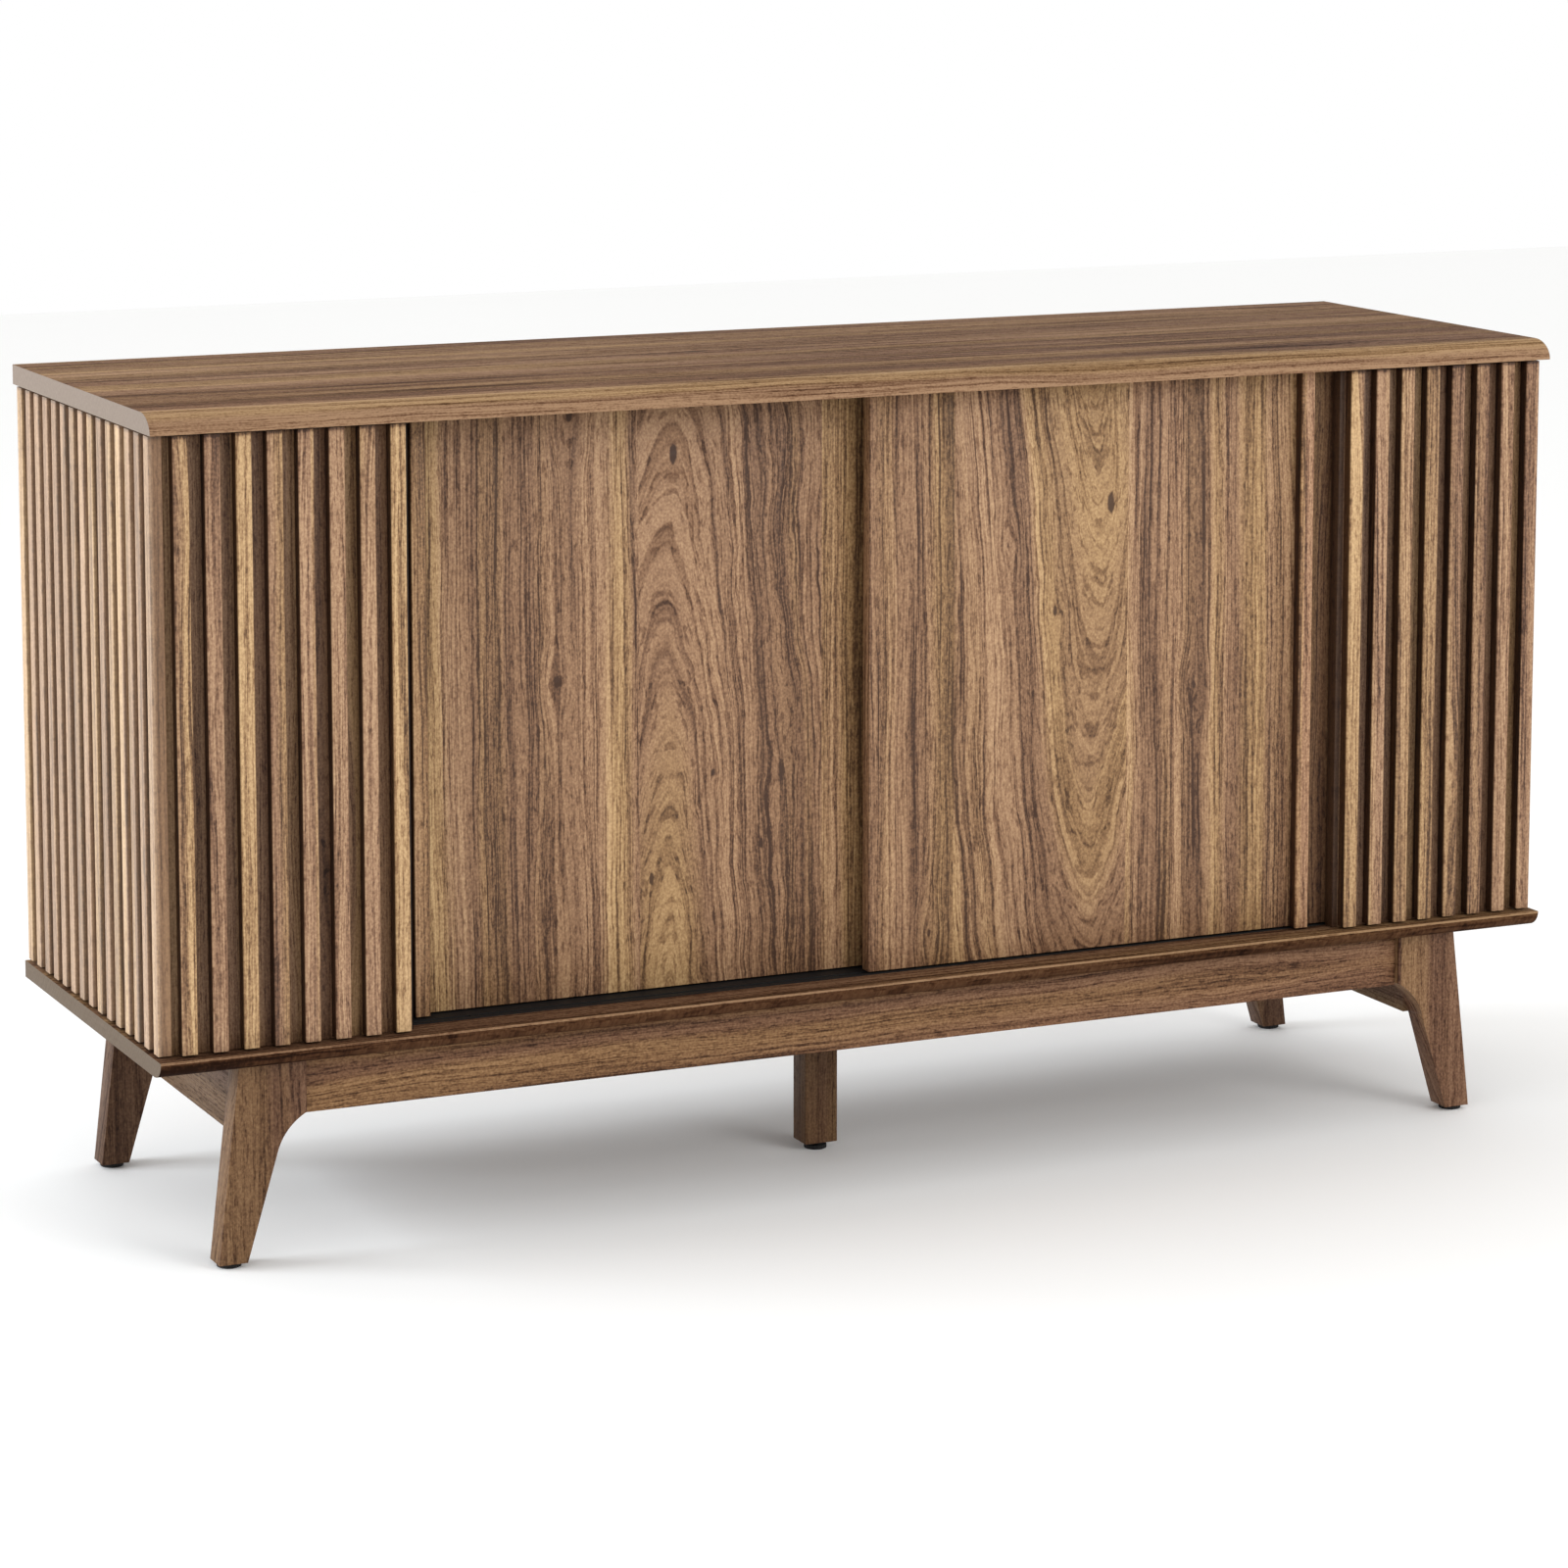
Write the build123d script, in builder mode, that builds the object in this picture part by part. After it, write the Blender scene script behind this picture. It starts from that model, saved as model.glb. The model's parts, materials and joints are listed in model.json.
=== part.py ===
from build123d import *
import os

os.makedirs("parts", exist_ok=True)

# Sideboard with two sliding doors. Millimetres, +Z up, front towards -Y, floor at Z = 0.

# Overall size
width = 1600.0
depth = 480.0
height = 868.0

# Boards that close the case above and below
top_thick = 21.0
top_nose = 30.0
base_thick = 18.0
base_nose = 22.0
base_bottom = 209.0
base_top = base_bottom + base_thick
top_bottom = height - top_thick
case_height = top_bottom - base_top

# Sheet stock
panel_thick = 16.0
back_thick = 4.0
groove_depth = 5.0
fit_gap = 0.1

# Slats
slat_width = 16.0
slat_depth = 14.0
slat_end_gap = 2.5
slat_low = base_top + slat_end_gap
slat_height = case_height - 2 * slat_end_gap
slat_edge = 0.8
front_slats = 8
front_pitch = 32.0
front_left_start = -773.5
front_right_start = 554.5
front_panel_margin = 6.5
side_slats = 15
side_slat_rear = 238.0
left_slats_front = -222.0

# Case layout
side_outer = 782.5
side_inner = side_outer - panel_thick
front_face = -214.0
front_back = front_face + panel_thick
side_rear = 236.0
opening_left = front_left_start + (front_slats - 1) * front_pitch + slat_width + front_panel_margin
opening_right = front_right_start - front_panel_margin
divider_x = (opening_left + opening_right) / 2
divider_left = divider_x - panel_thick / 2
divider_right = divider_x + panel_thick / 2
inner_front = -142.0
back_front = 224.0
back_joint = 0.5
back_low = base_top - groove_depth + back_joint
back_height = case_height + 2 * (groove_depth - back_joint)

# Doors
door_width = 571.0
door_low = slat_low
door_height = slat_height
door_front_y = -196.0
door_rear_y = -166.0
handle_width = 16.0
handle_depth = 13.0
left_door_x = -541.0
left_handle_x = -511.0
right_door_x = -9.0
right_handle_x = 504.0

# Door tracks, guides and stops
track_y0 = -197.4
track_y1 = -143.4
track_end_gap = 0.4
track_end = side_inner - track_end_gap
track_thick = 6.0
track_proud = 1.0
channel_width = 6.0
channel_depth = 4.5
guide_long = 30.0
guide_thick = 5.0
guide_inset = 60.0
guide_buried = 12.0
guide_reach = 5.2
door_travel = 480.0
stop_long = 10.0
stop_tall = 4.0
stop_gap = 1.0

# Shelves and pins
shelf_low = 520.0
shelf_gap = 1.5
shelf_rear = 222.0
pin_radius = 2.5
pin_buried = 7.0
pin_collar = 4.0
pin_collar_thick = 1.0
pin_support = 9.0
pin_ys = (-105.0, 185.0)

# Frame under the case
leg_front_y = -208.0
leg_rear_y = 193.0
leg_thick = 30.0
leg_low = 5.0
leg_top_outer = 709.0
leg_top_inner = 639.0
leg_foot_outer = 733.0
leg_foot_inner = 703.0
leg_shoulder = 153.0
leg_curve_mid = (657.5, 138.5)
leg_curve_end = (671.0, 112.0)
apron_low = 150.0
apron_thick = 22.0
side_apron_low = 112.0
side_apron_x = 675.0
front_apron_y = -200.0
rear_apron_y = 193.0
brace_size = 80.0
brace_low = 185.0
centre_leg_low = 8.5
centre_leg_x = 38.0
centre_leg_y = 32.0
centre_leg_mid = -44.0

# Levelling glides
glide_x = 718.0
glide_front_y = leg_front_y + leg_thick / 2
glide_rear_y = leg_rear_y + leg_thick / 2
pad_radius = 12.5
pad_thick = 5.0
pad_round = 1.5
stud_radius = 4.0
stud_top = 36.0
insert_radius = 6.0
insert_bore = 4.15
insert_long = 14.0
bore_extra = 3.0

# Dowels and screws
dowel_radius = 4.0
dowel_half = 18.0
dowel_board = 10.0
dowel_panel = 20.0
dowel_ys = (-150.0, 190.0)
dowel_play = 1.0
apron_dowel_zs = (195.0, 168.0)
side_dowel_zs = (190.0, 150.0)
screw_radius = 2.2
screw_head = 4.5
screw_head_tall = 2.6
screw_bite = 12.0
screw_spots = ((20.0, 20.0), (52.0, 12.0), (12.0, 52.0))
back_screw_radius = 1.5
back_screw_head = 3.2
back_screw_head_tall = 1.4
back_screw_bite = 14.0
back_screw_zs = (260.0, 537.0, 814.0)
back_screw_offset = 4.6


def save(piece, name):
    piece.label = name
    export_step(piece, f"parts/{name}.step")


def rectangle(x0, x1, y0, y1):
    with Locations(((x0 + x1) / 2, (y0 + y1) / 2)):
        Rectangle(x1 - x0, y1 - y0)


def circles(radius, spots):
    with Locations(*spots):
        Circle(radius)


sides = (("left", -1), ("right", 1))

dowel_xs = (
    -(side_inner + side_outer) / 2,
    (side_inner + side_outer) / 2,
    divider_x,
)
dowel_spots = [(x, y) for x in dowel_xs for y in dowel_ys]
brace_corners = [
    (sx * (side_apron_x - apron_thick / 2), y, sx, sy)
    for sx in (-1, 1)
    for y, sy in ((leg_front_y + leg_thick, 1), (leg_rear_y, -1))
]
frame_screw_spots = [
    (x - sx * dx, y + sy * dy) for x, y, sx, sy in brace_corners for dx, dy in screw_spots
]

# Top board: the front edge is a quarter ellipse that comes forward towards its lower corner.
with BuildPart() as top_board:
    with BuildSketch(Plane.YZ.offset(-width / 2)):
        with BuildLine():
            Line((-depth / 2, top_bottom), (depth / 2, top_bottom))
            Line((depth / 2, top_bottom), (depth / 2, height))
            Line((depth / 2, height), (-depth / 2 + top_nose, height))
            EllipticalCenterArc((-depth / 2 + top_nose, top_bottom), top_nose, top_thick, 90)
        make_face()
    extrude(amount=width)
    with BuildSketch(Plane.XY.offset(top_bottom)):
        rectangle(-side_inner, side_inner, track_y0 - fit_gap, track_y1 + fit_gap)
        rectangle(
            -side_inner - groove_depth,
            side_inner + groove_depth,
            back_front - fit_gap,
            back_front + back_thick + fit_gap,
        )
    extrude(amount=groove_depth, mode=Mode.SUBTRACT)
    with BuildSketch(Plane.XY.offset(top_bottom)):
        circles(dowel_radius + fit_gap, dowel_spots)
    extrude(amount=dowel_board + dowel_play, mode=Mode.SUBTRACT)
save(top_board.part, "top_board")

# Base board: the same edge turned over, furthest forward at its upper corner.
with BuildPart() as base_board:
    with BuildSketch(Plane.YZ.offset(-width / 2)):
        with BuildLine():
            Line((-depth / 2, base_top), (depth / 2, base_top))
            Line((depth / 2, base_top), (depth / 2, base_bottom))
            Line((depth / 2, base_bottom), (-depth / 2 + base_nose, base_bottom))
            EllipticalCenterArc((-depth / 2 + base_nose, base_top), base_nose, base_thick, 180)
        make_face()
    extrude(amount=width)
    with BuildSketch(Plane.XY.offset(base_top)):
        rectangle(-side_inner, side_inner, track_y0 - fit_gap, track_y1 + fit_gap)
        rectangle(
            -side_inner - groove_depth,
            side_inner + groove_depth,
            back_front - fit_gap,
            back_front + back_thick + fit_gap,
        )
    extrude(amount=-groove_depth, mode=Mode.SUBTRACT)
    with BuildSketch(Plane.XY.offset(base_top)):
        circles(dowel_radius + fit_gap, dowel_spots)
    extrude(amount=-dowel_board - dowel_play, mode=Mode.SUBTRACT)
    with BuildSketch(Plane.XY.offset(base_bottom)):
        circles(screw_radius + fit_gap, frame_screw_spots)
    extrude(amount=screw_bite + dowel_play, mode=Mode.SUBTRACT)
save(base_board.part, "base_board")

# Side panels stand between the two boards, drilled for dowels and shelf pins.
for side, sign in sides:
    outer = sign * side_outer
    inner = sign * side_inner
    with BuildPart() as side_panel:
        with BuildSketch(Plane.XY.offset(base_top)):
            rectangle(min(outer, inner), max(outer, inner), front_back, side_rear)
        extrude(amount=case_height)
        groove_near = min(inner, inner + sign * groove_depth)
        groove_far = max(inner, inner + sign * groove_depth)
        with BuildSketch(Plane.XY.offset(base_top)):
            rectangle(
                groove_near, groove_far, back_front - fit_gap, back_front + back_thick + fit_gap
            )
        extrude(amount=case_height, mode=Mode.SUBTRACT)
        panel_dowels = [(sign * (side_inner + side_outer) / 2, y) for y in dowel_ys]
        for level, way in ((base_top, 1), (top_bottom, -1)):
            with BuildSketch(Plane.XY.offset(level)):
                circles(dowel_radius + fit_gap, panel_dowels)
            extrude(amount=way * (dowel_panel + dowel_play), mode=Mode.SUBTRACT)
        with BuildSketch(Plane.YZ.offset(inner)):
            circles(pin_radius + fit_gap, [(y, shelf_low - pin_radius) for y in pin_ys])
        extrude(amount=sign * (pin_buried + fit_gap), mode=Mode.SUBTRACT)
    save(side_panel.part, f"side_panel_{side}")

# Slats on the side panels. The left run starts with the corner slat, the right run starts
# behind the last front slat.
slat_fronts = {"left": left_slats_front, "right": front_face}
for side, sign in sides:
    first = slat_fronts[side] + slat_width / 2
    last = side_slat_rear - slat_width / 2
    pitch = (last - first) / (side_slats - 1)
    x_mid = sign * (side_outer + slat_depth / 2)
    with BuildPart() as side_slat_run:
        with BuildSketch(Plane.XY.offset(slat_low)):
            with Locations(*[(x_mid, first + i * pitch) for i in range(side_slats)]):
                Rectangle(slat_depth, slat_width)
        extrude(amount=slat_height)
        face_edges = [
            edge
            for edge in side_slat_run.edges().filter_by(Axis.Z)
            if abs(edge.center().X) > side_outer + slat_depth / 2
        ]
        chamfer(face_edges, length=slat_edge)
    save(side_slat_run.part, f"side_slats_{side}")

# Fixed front panels and their slats.
front_spans = {
    "left": (-side_outer, opening_left),
    "right": (opening_right, side_outer),
}
for side, sign in sides:
    x0, x1 = front_spans[side]
    with BuildPart() as front_panel:
        with BuildSketch(Plane.XY.offset(base_top)):
            rectangle(x0, x1, front_face, front_back)
        extrude(amount=case_height)
    save(front_panel.part, f"front_panel_{side}")

front_starts = {"left": front_left_start, "right": front_right_start}
for side, sign in sides:
    for i in range(front_slats):
        x0 = front_starts[side] + i * front_pitch
        with BuildPart() as front_slat:
            with BuildSketch(Plane.XY.offset(slat_low)):
                rectangle(x0, x0 + slat_width, front_face - slat_depth, front_face)
            extrude(amount=slat_height)
            face_edges = [
                edge
                for edge in front_slat.edges().filter_by(Axis.Z)
                if edge.center().Y < front_face - slat_depth / 2
            ]
            chamfer(face_edges, length=slat_edge)
        save(front_slat.part, f"front_slat_{side}_{i + 1}")

# Centre divider, drilled for dowels, shelf pins and the screws of the back panels.
with BuildPart() as centre_divider:
    with BuildSketch(Plane.XY.offset(base_top)):
        rectangle(divider_left, divider_right, inner_front, back_front)
    extrude(amount=case_height)
    for level, way in ((base_top, 1), (top_bottom, -1)):
        with BuildSketch(Plane.XY.offset(level)):
            circles(dowel_radius + fit_gap, [(divider_x, dowel_ys[1])])
        extrude(amount=way * (dowel_panel + dowel_play), mode=Mode.SUBTRACT)
    for x, way in ((divider_left, 1), (divider_right, -1)):
        with BuildSketch(Plane.YZ.offset(x)):
            circles(pin_radius + fit_gap, [(y, shelf_low - pin_radius) for y in pin_ys])
        extrude(amount=way * (pin_buried + fit_gap), mode=Mode.SUBTRACT)
    with BuildSketch(Plane.XZ.offset(-back_front)):
        circles(
            back_screw_radius + fit_gap,
            [
                (divider_x + dx, z)
                for dx in (-back_screw_offset, back_screw_offset)
                for z in back_screw_zs
            ],
        )
    extrude(amount=back_screw_bite + fit_gap, mode=Mode.SUBTRACT)
save(centre_divider.part, "centre_divider")

# Thin back panels run in grooves and meet behind the divider.
for side, sign in sides:
    edge_in = divider_x + sign * back_joint
    edge_out = sign * (side_inner + groove_depth - back_joint)
    with BuildPart() as back_panel:
        with BuildSketch(Plane.XY.offset(back_low)):
            rectangle(
                min(edge_in, edge_out), max(edge_in, edge_out), back_front, back_front + back_thick
            )
        extrude(amount=back_height)
        with BuildSketch(Plane.XZ.offset(-back_front - back_thick)):
            circles(
                back_screw_radius + fit_gap,
                [(divider_x + sign * back_screw_offset, z) for z in back_screw_zs],
            )
        extrude(amount=back_thick, mode=Mode.SUBTRACT)
    save(back_panel.part, f"back_panel_{side}")

# Shelves, one each side of the divider, resting on pins.
shelf_spans = {
    "left": (-side_inner + shelf_gap, divider_left - shelf_gap),
    "right": (divider_right + shelf_gap, side_inner - shelf_gap),
}
for side, sign in sides:
    x0, x1 = shelf_spans[side]
    with BuildPart() as shelf:
        with BuildSketch(Plane.XY.offset(shelf_low)):
            rectangle(x0, x1, inner_front, shelf_rear)
        extrude(amount=panel_thick)
    save(shelf.part, f"shelf_{side}")

pin_walls = (
    (-side_inner, 1),
    (divider_left, -1),
    (divider_right, 1),
    (side_inner, -1),
)
with BuildPart() as shelf_pins:
    for x, way in pin_walls:
        spots = [(y, shelf_low - pin_radius) for y in pin_ys]
        with BuildSketch(Plane.YZ.offset(x - way * pin_buried)):
            circles(pin_radius, spots)
        extrude(amount=way * (pin_buried + pin_support))
        with BuildSketch(Plane.YZ.offset(x)):
            circles(pin_collar, spots)
        extrude(amount=way * pin_collar_thick)
save(shelf_pins.part, "shelf_pins")

# Double door tracks, one let into each board.
channel_ys = (door_front_y + panel_thick / 2, door_rear_y + panel_thick / 2)
track_low = base_top + track_proud - track_thick
track_high = top_bottom - track_proud + track_thick
for name, floor_z, way in (("bottom_track", track_low, 1), ("top_track", track_high, -1)):
    with BuildPart() as track:
        with BuildSketch(Plane.XY.offset(floor_z)):
            rectangle(-track_end, track_end, track_y0, track_y1)
        extrude(amount=way * track_thick)
        with BuildSketch(Plane.XY.offset(floor_z + way * track_thick)):
            for y in channel_ys:
                rectangle(-track_end, track_end, y - channel_width / 2, y + channel_width / 2)
        extrude(amount=-way * channel_depth, mode=Mode.SUBTRACT)
    save(track.part, name)

# Doors: a slab with its handle slat, and guides let into the top and bottom edges.
door_layout = (
    ("left", left_door_x, door_rear_y, left_handle_x),
    ("right", right_door_x, door_front_y, right_handle_x),
)
door_top = door_low + door_height
for side, door_x, door_y, handle_x in door_layout:
    guide_xs = (door_x + guide_inset, door_x + door_width - guide_inset)
    guide_y = door_y + panel_thick / 2
    guide_ends = ((door_low, 1), (door_top, -1))
    with BuildPart() as door_panel:
        with BuildSketch(Plane.XY.offset(door_low)):
            rectangle(door_x, door_x + door_width, door_y, door_y + panel_thick)
        extrude(amount=door_height)
        for level, way in guide_ends:
            with BuildSketch(Plane.XY.offset(level)):
                with Locations(*[(x, guide_y) for x in guide_xs]):
                    Rectangle(guide_long + 2 * fit_gap, guide_thick + 2 * fit_gap)
            extrude(amount=way * (guide_buried + fit_gap), mode=Mode.SUBTRACT)
    save(door_panel.part, f"door_{side}_panel")

    with BuildPart() as door_handle:
        with BuildSketch(Plane.XY.offset(door_low)):
            rectangle(handle_x, handle_x + handle_width, door_y - handle_depth, door_y)
        extrude(amount=door_height)
        face_edges = [
            edge
            for edge in door_handle.edges().filter_by(Axis.Z)
            if edge.center().Y < door_y - handle_depth / 2
        ]
        chamfer(face_edges, length=slat_edge)
    save(door_handle.part, f"door_{side}_handle")

    with BuildPart() as door_guides:
        for level, way in guide_ends:
            with BuildSketch(Plane.XY.offset(level - way * guide_reach)):
                with Locations(*[(x, guide_y) for x in guide_xs]):
                    Rectangle(guide_long, guide_thick)
            extrude(amount=way * (guide_reach + guide_buried))
    save(door_guides.part, f"door_{side}_guides")

# Stops in the bottom channels just beyond the ends of each door's travel.
stop_spots = []
for side, door_x, door_y, handle_x in door_layout:
    low_end = door_x + guide_inset - guide_long / 2
    high_end = door_x + door_width - guide_inset + guide_long / 2
    if side == "left":
        high_end += door_travel
    else:
        low_end -= door_travel
    guide_y = door_y + panel_thick / 2
    stop_spots.append((low_end - stop_gap - stop_long / 2, guide_y))
    stop_spots.append((high_end + stop_gap + stop_long / 2, guide_y))
with BuildPart() as track_stops:
    with BuildSketch(Plane.XY.offset(base_top + track_proud - channel_depth)):
        with Locations(*stop_spots):
            Rectangle(stop_long, channel_width - 2 * fit_gap)
    extrude(amount=stop_tall)
save(track_stops.part, "track_stops")

# Dowels that hold the side panels and the divider to the boards.
case_dowel_spots = [spot for spot in dowel_spots if spot != (divider_x, dowel_ys[0])]
with BuildPart() as case_dowels:
    for low in (base_top - dowel_board, top_bottom - dowel_panel):
        with BuildSketch(Plane.XY.offset(low)):
            circles(dowel_radius, case_dowel_spots)
        extrude(amount=dowel_board + dowel_panel)
save(case_dowels.part, "case_dowels")

# Corner legs: flat, splayed sideways, with a curved shoulder on the inner edge.
front_apron_mid = front_apron_y + apron_thick / 2
rear_apron_mid = rear_apron_y + apron_thick / 2
leg_layout = (
    ("front", leg_front_y, glide_front_y, front_apron_mid, leg_front_y + leg_thick, -1),
    ("rear", leg_rear_y, glide_rear_y, rear_apron_mid, leg_rear_y, 1),
)
for end, leg_y, foot_y, apron_mid, inside_y, way in leg_layout:
    for side, sign in sides:
        with BuildPart() as leg:
            with BuildSketch(Plane.XZ.offset(-leg_y - leg_thick)):
                with BuildLine():
                    Polyline(
                        (sign * leg_top_inner, leg_shoulder),
                        (sign * leg_top_inner, base_bottom),
                        (sign * leg_top_outer, base_bottom),
                        (sign * leg_foot_outer, leg_low),
                        (sign * leg_foot_inner, leg_low),
                        (sign * leg_curve_end[0], leg_curve_end[1]),
                    )
                    ThreePointArc(
                        (sign * leg_curve_end[0], leg_curve_end[1]),
                        (sign * leg_curve_mid[0], leg_curve_mid[1]),
                        (sign * leg_top_inner, leg_shoulder),
                    )
                make_face()
            extrude(amount=leg_thick)
            with BuildSketch(Plane.XY.offset(leg_low)):
                circles(insert_radius, [(sign * glide_x, foot_y)])
            extrude(amount=insert_long, mode=Mode.SUBTRACT)
            with BuildSketch(Plane.XY.offset(leg_low)):
                circles(insert_bore, [(sign * glide_x, foot_y)])
            extrude(amount=stud_top + bore_extra - leg_low, mode=Mode.SUBTRACT)
            with BuildSketch(Plane.YZ.offset(sign * leg_top_inner)):
                circles(dowel_radius + fit_gap, [(apron_mid, z) for z in apron_dowel_zs])
            extrude(amount=sign * (dowel_half + dowel_play), mode=Mode.SUBTRACT)
            with BuildSketch(Plane.XZ.offset(-inside_y)):
                circles(dowel_radius + fit_gap, [(sign * side_apron_x, z) for z in side_dowel_zs])
            extrude(amount=-way * (dowel_half + dowel_play), mode=Mode.SUBTRACT)
        save(leg.part, f"leg_{end}_{side}")

# Long aprons between the legs.
for end, apron_y in (("front", front_apron_y), ("rear", rear_apron_y)):
    with BuildPart() as apron:
        with BuildSketch(Plane.XY.offset(apron_low)):
            rectangle(-leg_top_inner, leg_top_inner, apron_y, apron_y + apron_thick)
        extrude(amount=base_bottom - apron_low)
        for side, sign in sides:
            with BuildSketch(Plane.YZ.offset(sign * leg_top_inner)):
                circles(
                    dowel_radius + fit_gap,
                    [(apron_y + apron_thick / 2, z) for z in apron_dowel_zs],
                )
            extrude(amount=-sign * (dowel_half + dowel_play), mode=Mode.SUBTRACT)
    save(apron.part, f"apron_{end}")

# Deeper side aprons, joined to the middle of the legs.
side_apron_front = leg_front_y + leg_thick
for side, sign in sides:
    x0 = sign * side_apron_x - apron_thick / 2
    with BuildPart() as side_apron:
        with BuildSketch(Plane.XY.offset(side_apron_low)):
            rectangle(x0, x0 + apron_thick, side_apron_front, leg_rear_y)
        extrude(amount=base_bottom - side_apron_low)
        for y, way in ((side_apron_front, -1), (leg_rear_y, 1)):
            with BuildSketch(Plane.XZ.offset(-y)):
                circles(dowel_radius + fit_gap, [(sign * side_apron_x, z) for z in side_dowel_zs])
            extrude(amount=way * (dowel_half + dowel_play), mode=Mode.SUBTRACT)
    save(side_apron.part, f"apron_{side}")

# Dowels of the frame.
with BuildPart() as frame_dowels:
    for apron_mid in (front_apron_mid, rear_apron_mid):
        for side, sign in sides:
            with BuildSketch(Plane.YZ.offset(sign * leg_top_inner)):
                circles(dowel_radius, [(apron_mid, z) for z in apron_dowel_zs])
            extrude(amount=dowel_half, both=True)
    for y in (side_apron_front, leg_rear_y):
        with BuildSketch(Plane.XZ.offset(-y)):
            circles(
                dowel_radius,
                [(sign * side_apron_x, z) for side, sign in sides for z in side_dowel_zs],
            )
        extrude(amount=dowel_half, both=True)
save(frame_dowels.part, "frame_dowels")

# Corner braces in the angles of the frame, screwed up into the base board.
with BuildPart() as corner_braces:
    with BuildSketch(Plane.XY.offset(brace_low)):
        for x, y, sx, sy in brace_corners:
            with BuildLine():
                Polyline(
                    (x, y),
                    (x - sx * brace_size, y),
                    (x, y + sy * brace_size),
                    close=True,
                )
            make_face()
        with Locations(*frame_screw_spots):
            Circle(screw_radius + fit_gap, mode=Mode.SUBTRACT)
    extrude(amount=base_bottom - brace_low)
save(corner_braces.part, "corner_braces")

with BuildPart() as frame_screws:
    with BuildSketch(Plane.XY.offset(brace_low)):
        circles(screw_radius, frame_screw_spots)
    extrude(amount=base_bottom - brace_low + screw_bite)
    with BuildSketch(Plane.XY.offset(brace_low)):
        circles(screw_head, frame_screw_spots)
    extrude(amount=-screw_head_tall)
save(frame_screws.part, "frame_screws")

with BuildPart() as back_screws:
    spots = [
        (divider_x + dx, z) for dx in (-back_screw_offset, back_screw_offset) for z in back_screw_zs
    ]
    with BuildSketch(Plane.XZ.offset(-back_front - back_thick)):
        circles(back_screw_radius, spots)
    extrude(amount=back_thick + back_screw_bite)
    with BuildSketch(Plane.XZ.offset(-back_front - back_thick)):
        circles(back_screw_head, spots)
    extrude(amount=-back_screw_head_tall)
save(back_screws.part, "back_screws")

# Centre leg with a rail to each long apron.
centre_leg_front = centre_leg_mid - centre_leg_y / 2
centre_leg_rear = centre_leg_mid + centre_leg_y / 2
with BuildPart() as centre_leg:
    with BuildSketch(Plane.XY.offset(centre_leg_low)):
        rectangle(-centre_leg_x / 2, centre_leg_x / 2, centre_leg_front, centre_leg_rear)
    extrude(amount=base_bottom - centre_leg_low)
    with BuildSketch(Plane.XY.offset(centre_leg_low)):
        circles(insert_radius, [(0, centre_leg_mid)])
    extrude(amount=insert_long, mode=Mode.SUBTRACT)
    with BuildSketch(Plane.XY.offset(centre_leg_low)):
        circles(insert_bore, [(0, centre_leg_mid)])
    extrude(amount=stud_top + bore_extra - leg_low, mode=Mode.SUBTRACT)
save(centre_leg.part, "centre_leg")

rail_spans = (
    (front_apron_y + apron_thick, centre_leg_front),
    (centre_leg_rear, rear_apron_y),
)
with BuildPart() as centre_rails:
    with BuildSketch(Plane.XY.offset(apron_low)):
        for y0, y1 in rail_spans:
            rectangle(-apron_thick / 2, apron_thick / 2, y0, y1)
    extrude(amount=base_bottom - apron_low)
save(centre_rails.part, "centre_rails")

# Threaded inserts in the feet and the levelling glides that screw into them.
glide_layout = (
    ("front_left", -glide_x, glide_front_y, leg_low),
    ("front_right", glide_x, glide_front_y, leg_low),
    ("rear_left", -glide_x, glide_rear_y, leg_low),
    ("rear_right", glide_x, glide_rear_y, leg_low),
    ("centre", 0.0, centre_leg_mid, centre_leg_low),
)
with BuildPart() as glide_inserts:
    for name, x, y, foot_z in glide_layout:
        with BuildSketch(Plane.XY.offset(foot_z)):
            with Locations((x, y)):
                Circle(insert_radius)
                Circle(insert_bore, mode=Mode.SUBTRACT)
        extrude(amount=insert_long)
save(glide_inserts.part, "glide_inserts")

for name, x, y, foot_z in glide_layout:
    with BuildPart() as glide:
        with BuildSketch(Plane.XY):
            circles(pad_radius, [(x, y)])
        extrude(amount=pad_thick)
        fillet(glide.edges().filter_by(GeomType.CIRCLE).group_by(Axis.Z)[0], radius=pad_round)
        with BuildSketch(Plane.XY.offset(pad_thick)):
            circles(stud_radius, [(x, y)])
        extrude(amount=stud_top - pad_thick)
    save(glide.part, f"glide_{name}")
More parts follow.
